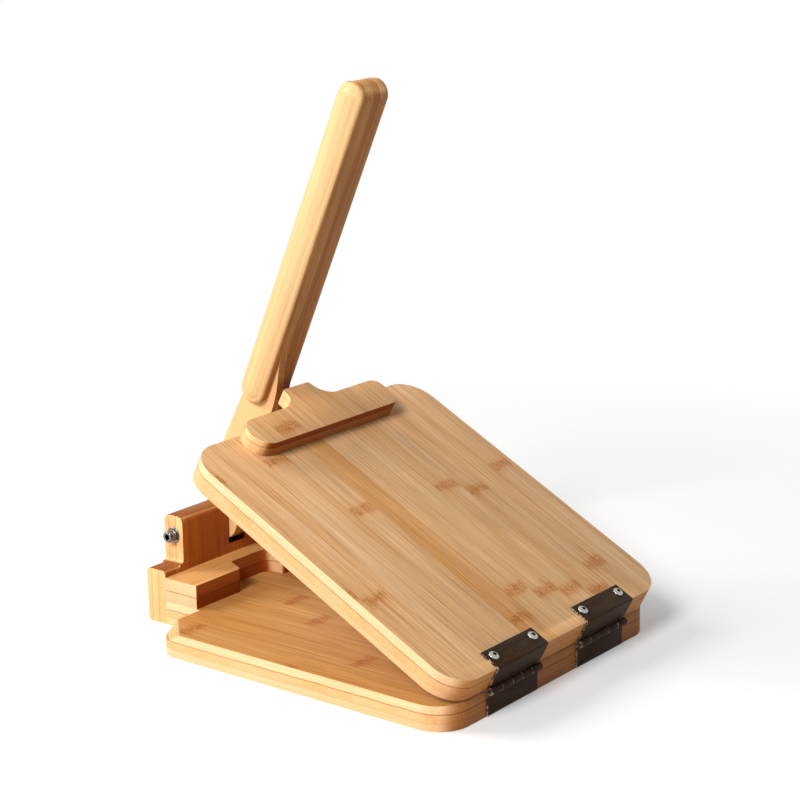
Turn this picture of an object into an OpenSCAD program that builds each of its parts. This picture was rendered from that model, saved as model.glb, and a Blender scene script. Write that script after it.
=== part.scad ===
// Wooden tortilla press: two hinged boards, with a lever in a yoke that pushes the upper one down.
// Bamboo boards, block, yoke and lever; steel hinges, screws and pivot bolt.
// X runs along the hinges, Y from the hinges to the lever, Z is up.
// The origin is the middle of the base board's underside.

/* [Boards] */
// Width of the base board and the top board
board_w = 250; // [220:1:280]
// Thickness of the base board and the top board
board_t = 18; // [15:0.5:22]
// Length of the base board without its tail
base_len = 258; // [240:1:280]
// How much shorter the top board is than the base board
lid_short = 1; // [0:0.5:3]
// Radius of the rounded board corners
corner_r = 24; // [12:1:34]
// Rounding of the base board's rear corners
rear_r = 18; // [12:1:22]
// Leg, on the top face, of the sloping flat across each rear corner
rear_flat = 24; // [20:1:27]
// Height at which that flat runs out on the round corner
flat_low = 10.5; // [7:0.5:12]
// Gap between the closed boards
board_gap = 0.4; // [0.3:0.1:1]
// Angle that the top board stands open at
lid_open = 27.4; // [24:0.2:30]

/* [Yoke] */
// Width of the base board's tail, the stop block and the yoke's foot
tail_w = 157; // [145:1:175]
// Length of the tail
tail_len = 33; // [31:0.5:40]
// Thickness of the yoke plank
yoke_t = 18; // [16:0.5:22]
// Height of the yoke's foot
foot_h = 41; // [38:1:41]
// Step from the foot's end to the ear, on each side
ear_step = 20; // [14:0.5:26]
// Height of the ears
ears_h = 77; // [73:0.5:85]
// Width of the slot between the ears
slot_w = 18; // [17.5:0.1:20]
// Height of the bottom of the slot
slot_floor = 43.5; // [42:0.5:45]
// Rounding of the ears' top edges
ear_edge_r = 5; // [2:0.5:7]
// Rounding of the foot's edges
foot_edge_r = 3; // [1:0.5:5]
// Fillet between ear and foot, and in the bottom of the slot
yoke_fillet_r = 4; // [2:0.5:6]

/* [Stop block] */
// Depth of the stop block
stop_depth = 30.5; // [28:0.5:32.5]
// Height of the stop block
stop_h = 18; // [15:0.5:19]
// Width of the finger notch at its back wall
notch_w = 40.5; // [34:0.5:44]
// How much the notch's left side opens out towards its mouth
notch_flare = 8; // [2:0.5:9]
// Depth of the finger notch
notch_depth = 16; // [14:0.5:18]
// How far the notch lies from the middle
notch_shift = -2.5; // [-6:0.5:6]
// Rounding of the corners at the notch's mouth
notch_r = 3; // [1:0.5:4]
// Rounding in the notch's rear right corner
notch_turn_r = 10; // [4:0.5:11]

/* [Pressure block] */
// Thickness of the pressure block
press_t = 12.2; // [10:0.2:15]
// Width across the pressure block's wings
press_w = 147; // [130:1:170]
// Depth of the wings
wing_depth = 28; // [24:0.5:34]
// Width of the stem that the lever pushes on
stem_w = 29; // [24:1:36]
// Length of the stem behind the wings
stem_len = 17; // [14:0.5:17.5]
// How far the stem reaches past the top board's rear edge
stem_overhang = 18; // [14:0.5:18.5]
// How far the pressure block sits from the middle
press_shift = 2; // [-5:0.5:5]
// Radius of the fillets between stem and wings
stem_fillet_r = 14.5; // [6:0.5:14.5]
// Radius of the long curve at each wing end
wing_end_r = 28; // [20:1:34]
// Radius of the wings' rear corners
wing_corner_r = 8; // [4:0.5:10]
// Radius of the wings' front corners
wing_front_r = 6; // [2:0.5:8]
// Radius of the stem's corners
stem_corner_r = 2; // [1:0.5:4]

/* [Hinges] */
// Length of a hinge along the edge
leaf_w = 57.6; // [45:0.2:66]
// Distance of each hinge from the middle
leaf_inner = 24; // [15:0.5:34]
// Depth of the flange that is screwed to the board
flange_d = 15.3; // [12:0.1:20]
// Sheet thickness of the hinge leaves
leaf_t = 1.4; // [1:0.1:2]
// Outer radius of the knuckles
knuckle_r = 2.8; // [2.4:0.1:3.5]
// Radius of the hinge pin
pin_r = 1.3; // [1:0.05:1.6]
// Number of knuckles on a hinge
knuckle_count = 5; // [3:2:7]
// Distance of the leaf screws from the hinge's ends
leaf_screw_inset = 6.5; // [5:0.5:10]
// Distance of the leaf screws from the board's edge
leaf_screw_y = 8.8; // [7:0.1:10]

/* [Lever] */
// Height of the pivot above the table
pivot_h = 62; // [61:0.5:63]
// Angle that the lever leans forward at
lever_lean = 23.9; // [20:0.1:24]
// Length of the lever from its pivot to its tip
lever_len = 365.5; // [300:0.5:400]
// Thickness of the lever's inner bar
arm_t = 15; // [13:0.5:15.5]
// Radius of the lever's nose round the pivot
nose_r = 16.5; // [14:0.5:17]
// Reach of the arm in front of the pivot line, below the grip
arm_front = 12.8; // [11:0.1:13.5]
// Reach of the arm's heel behind the pivot line, where the arm is deepest
heel_back = 20; // [17:0.5:22]
// Height of the heel above the pivot
heel_up = 57; // [45:1:70]
// Where the arm starts to narrow towards the grip
neck_start = 106; // [90:1:115]
// Where the arm has the grip's depth
neck_end = 156; // [140:1:180]
// Depth of the grip, front to back
grip_d = 22; // [18:0.5:26]
// Thickness of each grip scale
scale_t = 13; // [8:0.5:16]
// Rounding of the grip scales' outer edges
scale_edge_r = 10.5; // [3:0.5:10.5]
// Distance of the scales' lower ends from the pivot
scale_start = 104.5; // [95:0.5:125]

/* [Fasteners] */
// Radius of the pivot bolt's shank
bolt_r = 2.5; // [2.4:0.1:3]
// How far the pivot bolt's end stands out of its nut
bolt_end = 4.7; // [2:0.1:8]
// Radius of the pivot bolt's head
bolt_head_r = 4.25; // [4:0.05:5]
// Height of the pivot bolt's head
bolt_head_h = 5; // [4:0.5:6]
// Width across the flats of the hexagon socket in the head
key_af = 4; // [3:0.5:5]
// Outer radius of the flat washers
washer_r = 6; // [5:0.1:7]
// Thickness of the flat washers
washer_t = 1; // [0.8:0.1:1.6]
// Thickness of the lock washer
lock_t = 1.3; // [1:0.1:1.6]
// Width of the pivot nut across its flats
nut_af = 8; // [7:0.5:10]
// Height of the pivot nut
nut_h = 5; // [4:0.5:6]
// Outer radius of the spacers beside the lever
spacer_r = 7; // [5:0.5:9]
// Head radius of the hinge screws
leaf_head_r = 3.8; // [3:0.1:4.5]
// Shank radius of the hinge screws
leaf_shank_r = 1.75; // [1.4:0.05:2]
// Length of the hinge screws below the head
leaf_screw_len = 13; // [10:0.5:14]
// Head radius of the screws that hold yoke and stop block
wood_head_r = 4.5; // [3.8:0.1:5]
// Shank radius of the screws that hold yoke and stop block
wood_shank_r = 2.2; // [1.8:0.1:2.5]
// Distance of the yoke screws from the foot's ends
yoke_screw_inset = 28; // [22:1:40]
// Length of the yoke screws
yoke_screw_len = 42; // [35:1:44]
// Distance of the stop block screws from the tail's sides
stop_screw_inset = 44; // [38:1:50]
// Distance of the stop block screws from the yoke
stop_screw_back = 10; // [7:0.5:13]
// Length of the stop block screws
stop_screw_len = 30; // [26:1:32]
// Distance of the dowels from the wings' ends
dowel_inset = 27; // [20:1:40]
// Radius of the dowels between top board and pressure block
dowel_r = 4; // [3:0.5:5]
// Length of the dowels
dowel_len = 19; // [15:0.5:20]

/* [Hidden] */
$fn = 64;

// Small play between a fastener and its hole, and the larger play of a bolt's clearance hole
play = 0.06;
bolt_play = 0.25;
// Play between neighbouring knuckles, and between a barrel and the boards
knuckle_play = 0.3;
// How far sunk parts stay below the surface they are let into
sunk = 0.2;
// Amount by which cutting tools run past a surface
over = 1;

lid_len = base_len - lid_short;
ears_w = tail_w - 2 * ear_step;
front_y = -base_len / 2;
back_y = base_len / 2;
yoke_front_y = back_y + tail_len;
yoke_mid_y = yoke_front_y + yoke_t / 2;
yoke_back_y = yoke_front_y + yoke_t;
stop_front_y = yoke_front_y - stop_depth;
stop_top = board_t + stop_h;

lid_bottom = board_t + board_gap;
lid_top = lid_bottom + board_t;
pin_y = front_y - knuckle_r - knuckle_play;
pin_z = board_t + board_gap / 2;
hinge_screw_x = [leaf_inner + leaf_screw_inset, leaf_inner + leaf_w - leaf_screw_inset];
knuckle_w = leaf_w / knuckle_count;
// How far the pin ends stay inside the rolled knuckles
pin_recess = 0.8;

wing_front = lid_len + stem_overhang - stem_len - wing_depth;
stem_turn_r = min(stem_fillet_r, stem_len - stem_corner_r - 0.2);
dowel_x = press_w / 2 - dowel_inset;
dowel_y = front_y + wing_front + wing_depth / 2;
dowel_in_lid = dowel_len / 2;

grip_back = nose_r;
grip_front = grip_back - grip_d;
grip_mid = grip_back - grip_d / 2;
grip_end_r = grip_d / 2;
scale_round = min(scale_edge_r, grip_end_r - 0.5, scale_t - 0.5);

yoke_screw_x = tail_w / 2 - yoke_screw_inset;
stop_screw_x = tail_w / 2 - stop_screw_inset;
stop_screw_y = yoke_front_y - stop_screw_back;

// The bolt's stack: lock washer and washer under the head, washer and nut at the other end
bolt_x0 = -ears_w / 2 - washer_t - lock_t;
bolt_len = ears_w + 2 * washer_t + lock_t + nut_h + bolt_end;

// Puts the closed top board and what it carries into the open position
module opened() {
    translate([0, pin_y, pin_z]) rotate([lid_open, 0, 0]) translate([0, -pin_y, -pin_z]) children();
}

// Puts the upright lever, drawn round its pivot, onto the bolt and leans it forward
module leaned() {
    translate([0, yoke_mid_y, pivot_h]) rotate([lever_lean, 0, 0]) children();
}

// Extrudes a side view, drawn as Y across and Z up, along X
module from_side(width, x = 0) {
    translate([x, 0, 0]) rotate([90, 0, 90]) linear_extrude(width, center = true) children();
}

// Extrudes a front view, drawn as X across and Z up, from one Y to a larger one
module from_front(y0, y1) {
    translate([0, y1, 0]) rotate([90, 0, 0]) linear_extrude(y1 - y0) children();
}

module bar_x(r, x0, x1) {
    translate([x0, 0, 0]) rotate([0, 90, 0]) cylinder(r = r, h = x1 - x0);
}

// A right-angled corner at the origin, between +X and +Y, less the round of radius r
module corner_waste(r) {
    difference() {
        translate([-over, -over]) square(r + over);
        translate([r, r]) circle(r);
    }
}

// The right angle between two edges filled with a fillet of radius r
module corner_fill(r) {
    difference() {
        square(r);
        translate([r, r]) circle(r);
    }
}

module both_sides() {
    children();
    mirror([1, 0, 0]) children();
}

// A countersunk screw hanging from the origin: head flush, shank down -Z
module flat_screw(head_r, shank_r, length, extra = 0) {
    head_h = head_r - shank_r;
    rotate([180, 0, 0]) {
        cylinder(r1 = head_r + extra, r2 = shank_r + extra, h = head_h);
        cylinder(r = shank_r + extra, h = length + extra);
    }
}

// The screws between yoke and tail, and between yoke and stop block, seen from behind
module at_yoke_screws() {
    for (x = [-yoke_screw_x, yoke_screw_x], z = [board_t / 2, board_t + stop_h / 2])
        translate([x, yoke_back_y - sunk, z]) rotate([-90, 0, 0]) children();
}

module at_stop_screws() {
    for (x = [-stop_screw_x, stop_screw_x])
        translate([x, stop_screw_y, sunk]) rotate([180, 0, 0]) children();
}

module at_leaf_screws(y, z) {
    for (side = [-1, 1], x = hinge_screw_x) translate([side * x, y, z]) children();
}

module base_outline() {
    difference() {
        translate([-board_w / 2, front_y]) square([board_w, base_len]);
        both_sides() {
            translate([board_w / 2, front_y]) mirror([1, 0]) corner_waste(corner_r);
            translate([board_w / 2, back_y]) rotate(180) corner_waste(rear_r);
        }
    }
    translate([-tail_w / 2, back_y - over]) square([tail_w, tail_len + over]);
}

// What the sloping flat takes off a rear corner, which lies at the origin and points to +X +Y
module flat_waste() {
    low = rear_r * (sqrt(2) - 1);
    high = rear_flat / sqrt(2);
    slope = (high - low) / (board_t - flat_low);
    rotate([0, 0, 225]) rotate([90, 0, 0]) linear_extrude(2.4 * rear_flat, center = true)
        polygon([[low - 2 * over * slope, flat_low - 2 * over], [high + over * slope, board_t + over],
                 [-rear_flat, board_t + over], [-rear_flat, flat_low - 2 * over]]);
}

module base_board() {
    color("burlywood") difference() {
        linear_extrude(board_t) base_outline();
        both_sides() translate([board_w / 2, back_y, 0]) flat_waste();
        both_sides() translate([leaf_inner - sunk, front_y - over, -over])
            cube([leaf_w + 2 * sunk, flange_d + sunk + over, leaf_t + sunk + over]);
        at_leaf_screws(front_y + leaf_screw_y, sunk) rotate([180, 0, 0])
            flat_screw(leaf_head_r, leaf_shank_r, leaf_screw_len, play);
        at_yoke_screws() flat_screw(wood_head_r, wood_shank_r, yoke_screw_len, play);
        at_stop_screws() flat_screw(wood_head_r, wood_shank_r, stop_screw_len, play);
        at_stop_screws() cylinder(r = wood_head_r + play, h = over);
    }
}

module foot_side() {
    difference() {
        translate([yoke_front_y, 0]) square([yoke_t, foot_h]);
        translate([yoke_front_y, foot_h]) mirror([0, 1]) corner_waste(foot_edge_r);
        translate([yoke_back_y, foot_h]) mirror([1, 0]) mirror([0, 1]) corner_waste(foot_edge_r);
        translate([yoke_back_y, 0]) mirror([1, 0]) corner_waste(foot_edge_r);
    }
}

module ears_side() {
    difference() {
        translate([yoke_front_y, foot_h / 2]) square([yoke_t, ears_h - foot_h / 2]);
        translate([yoke_front_y, ears_h]) mirror([0, 1]) corner_waste(ear_edge_r);
        translate([yoke_back_y, ears_h]) mirror([1, 0]) mirror([0, 1]) corner_waste(ear_edge_r);
    }
}

module ears_front() {
    translate([-ears_w / 2, foot_h / 2]) square([ears_w, ears_h - foot_h / 2]);
    both_sides() translate([ears_w / 2, foot_h - foot_edge_r / 2]) {
        translate([0, foot_edge_r / 2]) corner_fill(yoke_fillet_r);
        square([yoke_fillet_r, foot_edge_r / 2]);
    }
}

module slot_front() {
    difference() {
        translate([-slot_w / 2, slot_floor]) square([slot_w, ears_h]);
        both_sides() translate([slot_w / 2, slot_floor]) mirror([1, 0]) corner_fill(yoke_fillet_r);
    }
}

module yoke_plate() {
    color("peru") difference() {
        union() {
            from_side(tail_w) foot_side();
            intersection() {
                from_side(ears_w + 2 * yoke_fillet_r) ears_side();
                from_front(yoke_front_y, yoke_back_y) ears_front();
            }
        }
        from_front(yoke_front_y - over, yoke_back_y + over) slot_front();
        translate([0, yoke_mid_y, pivot_h]) bar_x(bolt_r + bolt_play, -ears_w, ears_w);
        at_yoke_screws() flat_screw(wood_head_r, wood_shank_r, yoke_screw_len, play);
        at_yoke_screws() cylinder(r = wood_head_r + play, h = over);
    }
}

// Plan of the finger notch, open towards the front: left side slanted, right side straight
module notch_outline() {
    left = notch_shift - notch_w / 2;
    right = notch_shift + notch_w / 2;
    slant = atan2(notch_flare, notch_depth);
    reach = notch_r / tan((90 + slant) / 2);
    mouth = left - notch_flare;
    translate([0, stop_front_y]) difference() {
        polygon([[mouth - reach, -over], [mouth - reach, notch_r],
                 [mouth + reach * sin(slant), reach * cos(slant)], [left, notch_depth],
                 [right, notch_depth], [right, notch_r], [right + notch_r, notch_r],
                 [right + notch_r, -over]]);
        translate([mouth - reach, notch_r]) circle(notch_r);
        translate([right + notch_r, notch_r]) circle(notch_r);
        translate([right, notch_depth]) rotate(180) corner_waste(notch_turn_r);
    }
}

module stop_block() {
    color("sandybrown") difference() {
        translate([-tail_w / 2, stop_front_y, board_t]) cube([tail_w, stop_depth, stop_h]);
        translate([0, 0, board_t - over]) linear_extrude(stop_h + 2 * over) notch_outline();
        at_yoke_screws() flat_screw(wood_head_r, wood_shank_r, yoke_screw_len, play);
        at_stop_screws() flat_screw(wood_head_r, wood_shank_r, stop_screw_len, play);
    }
}

// Side view of a hinge leaf round the pin at the origin, flange on top at the given height
module leaf_side(reach, rolled) {
    plate_y = knuckle_r + knuckle_play;
    clear = plate_y + knuckle_play;
    plate_low = rolled ? 0 : clear;
    translate([plate_y - leaf_t, plate_low]) square([leaf_t, reach - leaf_t - plate_low]);
    translate([plate_y, reach - leaf_t]) square([flange_d, leaf_t]);
    intersection() {
        translate([plate_y, reach - leaf_t]) circle(leaf_t);
        translate([plate_y - leaf_t, reach - leaf_t]) square(leaf_t);
    }
    if (rolled) circle(knuckle_r);
}

// A bent hinge leaf with knuckles; first is 0 where the end knuckles are its own, 1 where not
module leaf(reach, first) {
    difference() {
        for (i = [0 : knuckle_count - 1]) {
            own = i % 2 == first;
            trim = own && i > 0 ? knuckle_play : 0;
            trim_end = own && i < knuckle_count - 1 ? knuckle_play : 0;
            from_side(knuckle_w, leaf_inner + (i + 0.5) * knuckle_w) leaf_side(reach, false);
            if (own)
                from_side(knuckle_w - (trim + trim_end) / 2,
                          leaf_inner + (i + 0.5) * knuckle_w + (trim - trim_end) / 4)
                    leaf_side(reach, true);
        }
        bar_x(pin_r + play, leaf_inner - over, leaf_inner + leaf_w + over);
    }
}

module lower_leaf() {
    color("dimgray") difference() {
        translate([0, pin_y, pin_z]) mirror([0, 0, 1]) leaf(pin_z - sunk, 0);
        at_leaf_screws(front_y + leaf_screw_y, sunk) rotate([180, 0, 0])
            flat_screw(leaf_head_r, leaf_shank_r, leaf_screw_len, play);
    }
}

module upper_leaf() {
    color("dimgray") opened() difference() {
        translate([0, pin_y, pin_z]) leaf(lid_top + leaf_t - pin_z, 1);
        at_leaf_screws(front_y + leaf_screw_y, lid_top - over)
            cylinder(r = leaf_shank_r + play, h = leaf_t + 2 * over);
    }
}

module hinge_pin() {
    color("gray") translate([0, pin_y, pin_z])
        bar_x(pin_r, leaf_inner + pin_recess, leaf_inner + leaf_w - pin_recess);
}

module left_lower_leaf() { mirror([1, 0, 0]) lower_leaf(); }
module right_lower_leaf() { lower_leaf(); }
module left_upper_leaf() { mirror([1, 0, 0]) upper_leaf(); }
module right_upper_leaf() { upper_leaf(); }
module left_hinge_pin() { mirror([1, 0, 0]) hinge_pin(); }
module right_hinge_pin() { hinge_pin(); }

module lower_leaf_screws() {
    color("silver") at_leaf_screws(front_y + leaf_screw_y, sunk) rotate([180, 0, 0])
        flat_screw(leaf_head_r, leaf_shank_r, leaf_screw_len);
}

// A pan head, low and domed, with its shank
module pan_screw(head_r, shank_r, length) {
    dome_r = head_r * 1.5;
    rim = head_r * 0.22;
    translate([0, 0, -length]) cylinder(r = shank_r, h = length + rim);
    intersection() {
        cylinder(r = head_r, h = head_r);
        translate([0, 0, rim - sqrt(dome_r * dome_r - head_r * head_r)]) sphere(dome_r);
    }
}

module upper_leaf_screws() {
    color("silver") opened() at_leaf_screws(front_y + leaf_screw_y, lid_top + leaf_t)
        pan_screw(leaf_head_r, leaf_shank_r, leaf_screw_len);
}

module yoke_screws() {
    color("silver") at_yoke_screws() flat_screw(wood_head_r, wood_shank_r, yoke_screw_len);
}

module stop_block_screws() {
    color("silver") at_stop_screws() flat_screw(wood_head_r, wood_shank_r, stop_screw_len);
}

module pivot_bolt() {
    color("silver") translate([bolt_x0, yoke_mid_y, pivot_h]) {
        bar_x(bolt_r, 0, bolt_len);
        difference() {
            bar_x(bolt_head_r, -bolt_head_h, 0);
            translate([-bolt_head_h - over, 0, 0]) rotate([0, 90, 0])
                cylinder(d = key_af / cos(30), h = bolt_head_h / 2 + over, $fn = 6);
        }
    }
}

module ring(outer, inner, x0, x1) {
    translate([0, yoke_mid_y, pivot_h]) difference() {
        bar_x(outer, x0, x1);
        bar_x(inner, x0 - over, x1 + over);
    }
}

module flat_washers() {
    color("lightgray") both_sides()
        ring(washer_r, bolt_r + play, ears_w / 2, ears_w / 2 + washer_t);
}

// A split ring, cut through at the top
module lock_washer() {
    color("gray") difference() {
        ring(bolt_head_r, bolt_r + play, bolt_x0, bolt_x0 + lock_t);
        translate([bolt_x0 - over, yoke_mid_y, pivot_h]) rotate([20, 0, 0])
            cube([lock_t + 2 * over, lock_t / 2, bolt_head_r + over]);
    }
}

module pivot_nut() {
    x0 = ears_w / 2 + washer_t;
    color("silver") translate([x0, yoke_mid_y, pivot_h]) rotate([0, 90, 0]) difference() {
        union() {
            cylinder(d = nut_af / cos(30), h = nut_h * 0.75, $fn = 6);
            cylinder(d = nut_af * 0.94, h = nut_h);
        }
        translate([0, 0, -over]) cylinder(r = bolt_r + play, h = nut_h + 2 * over);
    }
}

module spacer_washers() {
    gap = (slot_w - arm_t) / 2;
    side_play = min(play, gap / 4);
    color("lightgray") both_sides()
        ring(spacer_r, bolt_r + play, arm_t / 2 + side_play, slot_w / 2 - side_play);
}

module lid_outline() {
    difference() {
        translate([-board_w / 2, front_y]) square([board_w, lid_len]);
        both_sides() {
            translate([board_w / 2, front_y]) mirror([1, 0]) corner_waste(corner_r);
            translate([board_w / 2, front_y + lid_len]) rotate(180) corner_waste(corner_r);
        }
    }
}

module at_dowels(r) {
    for (x = [-dowel_x, dowel_x])
        translate([press_shift + x, dowel_y, lid_top - dowel_in_lid]) cylinder(r = r, h = dowel_len);
}

module top_board() {
    color("burlywood") opened() difference() {
        translate([0, 0, lid_bottom]) linear_extrude(board_t) lid_outline();
        at_dowels(dowel_r + play);
        at_leaf_screws(front_y + leaf_screw_y, lid_top + leaf_t - leaf_screw_len)
            cylinder(r = leaf_shank_r + play, h = leaf_screw_len + over);
    }
}

// Points along an arc, the first left out where it would repeat the one before
function arc(middle, r, from, to, skip = 0) =
    let (steps = ceil(abs(to - from) / 5))
    [for (i = [skip : steps]) let (a = from + (to - from) * i / steps) middle + r * [cos(a), sin(a)]];

// Right half of the pressure block's outline: front corner, long curve, rear corner, stem
function press_right() =
    let (half = press_w / 2, turn_y = wing_depth - 1.4 * wing_corner_r,
         rise = turn_y - wing_front_r, run = sqrt(pow(wing_end_r - wing_front_r, 2) - rise * rise),
         meet = -atan2(rise, run), end = [half - wing_end_r, turn_y])
    concat(
        arc([end.x + run, wing_front_r], wing_front_r, -90, meet),
        arc(end, wing_end_r, meet, 0, 1),
        arc([half - wing_corner_r, wing_depth - wing_corner_r], wing_corner_r, 0, 90),
        arc([stem_w / 2 + stem_turn_r, wing_depth + stem_turn_r], stem_turn_r, 270, 180),
        arc([stem_w / 2 - stem_corner_r, wing_depth + stem_len - stem_corner_r], stem_corner_r, 0, 90));

module press_outline() {
    side = press_right();
    polygon(concat(side, [for (i = [len(side) - 1 : -1 : 0]) [-side[i].x, side[i].y]]));
}

module pressure_block() {
    color("tan") opened() difference() {
        translate([press_shift, front_y + wing_front, lid_top]) linear_extrude(press_t) press_outline();
        at_dowels(dowel_r + play);
    }
}

module block_dowels() {
    color("wheat") opened() at_dowels(dowel_r);
}

// Side view of the lever's bar round the pivot: full round nose, heel, S-curve, round tip
module arm_side() {
    neck_h = neck_end - neck_start;
    neck_d = arm_front + grip_front;
    // a hair over the radius at which the neck's two arcs would only touch, so that they cross
    neck_r = 1.005 * (neck_h * neck_h + neck_d * neck_d) / (4 * neck_d);
    below = 2 * nose_r;
    difference() {
        polygon([[-below, -below], [-nose_r, 0], [-arm_front, neck_start], [-arm_front, neck_end],
                 [grip_front, neck_end], [grip_front, lever_len], [grip_back, lever_len],
                 [grip_back, scale_start], [heel_back, heel_up], [nose_r, 0], [below, -below]]);
        difference() {
            translate([-below - over, -below - over]) square([2 * (below + over), below + over]);
            circle(nose_r);
        }
        difference() {
            translate([-arm_front - over, neck_start]) square([neck_d + over, neck_h / 2]);
            translate([neck_r - arm_front, neck_start]) circle(neck_r);
        }
        intersection() {
            translate([grip_front - neck_r, neck_end]) circle(neck_r);
            translate([-arm_front - over, neck_start]) square([neck_d + over, neck_h]);
        }
        translate([grip_front, lever_len]) mirror([0, 1]) corner_waste(grip_end_r);
        translate([grip_back, lever_len]) rotate(180) corner_waste(grip_end_r);
    }
}

module lever_arm() {
    color("peru") leaned() difference() {
        from_side(arm_t) arm_side();
        bar_x(bolt_r + play, -arm_t, arm_t);
    }
}

// Half a cross-section of a scale, from its middle outwards, flat on the arm
module scale_half() {
    difference() {
        square([grip_end_r, scale_t]);
        translate([grip_end_r, scale_t]) rotate(180) corner_waste(scale_round);
    }
}

// A scale with round ends, its outer edge rounded over, on the arm's right side
module grip_scale() {
    low = scale_start + grip_end_r;
    high = lever_len - grip_end_r;
    color("burlywood") leaned() translate([arm_t / 2, grip_mid, 0]) {
        for (s = [low, high])
            translate([0, 0, s]) rotate([0, 90, 0]) rotate_extrude() scale_half();
        translate([0, 0, low]) linear_extrude(high - low) rotate(-90) both_sides() scale_half();
    }
}

module right_grip_scale() { grip_scale(); }
module left_grip_scale() { mirror([1, 0, 0]) grip_scale(); }

base_board();
yoke_plate();
stop_block();
left_lower_leaf();
right_lower_leaf();
left_hinge_pin();
right_hinge_pin();
lower_leaf_screws();
yoke_screws();
stop_block_screws();
pivot_bolt();
flat_washers();
lock_washer();
pivot_nut();
spacer_washers();
top_board();
pressure_block();
block_dowels();
left_upper_leaf();
right_upper_leaf();
upper_leaf_screws();
lever_arm();
left_grip_scale();
right_grip_scale();
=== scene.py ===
"""Looks of the wooden tortilla press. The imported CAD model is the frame, and every piece rides on it.

Lengths are in metres unless a name ends in _mm. Wood patterns are worked out in millimetres in the
frame of the board or bar that they are on.
"""

import math

import bmesh
import bpy
from mathutils import Matrix, Vector


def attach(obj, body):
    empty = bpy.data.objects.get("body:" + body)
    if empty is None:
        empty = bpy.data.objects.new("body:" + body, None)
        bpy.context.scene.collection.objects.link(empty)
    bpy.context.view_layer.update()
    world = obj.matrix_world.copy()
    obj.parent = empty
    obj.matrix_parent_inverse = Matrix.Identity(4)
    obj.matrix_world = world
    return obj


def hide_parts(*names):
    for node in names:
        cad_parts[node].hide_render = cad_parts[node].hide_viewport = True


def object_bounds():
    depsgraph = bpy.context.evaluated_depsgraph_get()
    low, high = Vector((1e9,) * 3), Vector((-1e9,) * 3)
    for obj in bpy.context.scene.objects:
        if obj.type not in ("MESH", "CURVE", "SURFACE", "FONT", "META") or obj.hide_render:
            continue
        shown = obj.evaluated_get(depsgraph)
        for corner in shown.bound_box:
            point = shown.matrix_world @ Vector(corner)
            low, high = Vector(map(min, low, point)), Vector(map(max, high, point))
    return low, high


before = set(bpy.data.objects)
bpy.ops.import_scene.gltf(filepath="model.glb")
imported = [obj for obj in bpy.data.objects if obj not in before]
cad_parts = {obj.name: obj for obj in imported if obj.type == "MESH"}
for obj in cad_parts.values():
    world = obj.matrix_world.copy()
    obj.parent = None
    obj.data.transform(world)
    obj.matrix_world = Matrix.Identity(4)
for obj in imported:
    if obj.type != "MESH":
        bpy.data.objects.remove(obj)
cad_low, cad_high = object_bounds()
scene = bpy.context.scene
scene.view_settings.view_transform = "Standard"

# Camera
# It stands to the left of the press, above its hinge edge, and looks down a little, with the long
# lens that the photo's nearly parallel edges ask for. Its place and turn were fitted to those edges.

MM = 0.001
hinge_edge_y_mm = -129.0
camera_place = Vector((-1.1964, -0.8058 + hinge_edge_y_mm * MM, 0.5814))
camera_yaw, camera_pitch, camera_roll = map(math.radians, (-51.909, 14.875, -0.863))
focal_px, frame_px = 2248.54, 800
back = Vector((math.sin(camera_yaw) * math.cos(camera_pitch),
               -math.cos(camera_yaw) * math.cos(camera_pitch), math.sin(camera_pitch)))
level = Vector((math.cos(camera_yaw), math.sin(camera_yaw), 0.0))
upward = back.cross(level)
right = level * math.cos(camera_roll) + upward * math.sin(camera_roll)
above = -level * math.sin(camera_roll) + upward * math.cos(camera_roll)
lens = bpy.data.cameras.new("photo_camera")
lens.sensor_width = 36.0
lens.lens = focal_px / frame_px * lens.sensor_width
lens.clip_start, lens.clip_end = 0.05, 60.0
camera = bpy.data.objects.new("photo_camera", lens)
camera.matrix_world = Matrix.Translation(camera_place) @ \
    Matrix((right, above, back)).transposed().to_4x4()
scene.collection.objects.link(camera)
scene.camera = camera

# Room
# A plain pale floor in soft studio light: a round lamp to the left, a wider one behind, and a pale
# room. The floor looks white to the camera and in gloss, and keeps the press's shadow.


def linear(code):
    """An sRGB hex colour such as "d8a878" as linear values."""
    parts = [int(code[i:i + 2], 16) / 255 for i in (0, 2, 4)]
    return tuple(p / 12.92 if p <= 0.04045 else ((p + 0.055) / 1.055) ** 2.4 for p in parts) + (1.0,)


def put(tree, kind, inputs=(), **settings):
    """Adds a node, sets it, and fills its inputs: in order, or by name or number from a dict.
    An input that is given a node is linked to that node's first output in use."""
    added = tree.nodes.new(kind)
    for key, value in settings.items():
        setattr(added, key, value)
    for key, value in (inputs.items() if isinstance(inputs, dict) else enumerate(inputs)):
        if isinstance(value, bpy.types.Node):
            value = next(socket for socket in value.outputs if socket.enabled)
        if isinstance(value, bpy.types.NodeSocket):
            tree.links.new(value, added.inputs[key])
        else:
            added.inputs[key].default_value = value
    return added


def new_material(name):
    """An empty material, and its tree of nodes."""
    made = bpy.data.materials.new(name)
    made.use_nodes = True
    made.node_tree.nodes.clear()
    return made, made.node_tree


def looked_at(tree):
    """1 where a thing is looked at, straight, in gloss or through glass, and 0 where it gives light."""
    rays = put(tree, "ShaderNodeLightPath").outputs
    seen = put(tree, "ShaderNodeMath", (rays["Is Camera Ray"], rays["Is Glossy Ray"]),
               operation="MAXIMUM")
    return put(tree, "ShaderNodeMath", (seen, rays["Is Transmission Ray"]), operation="MAXIMUM")


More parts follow.
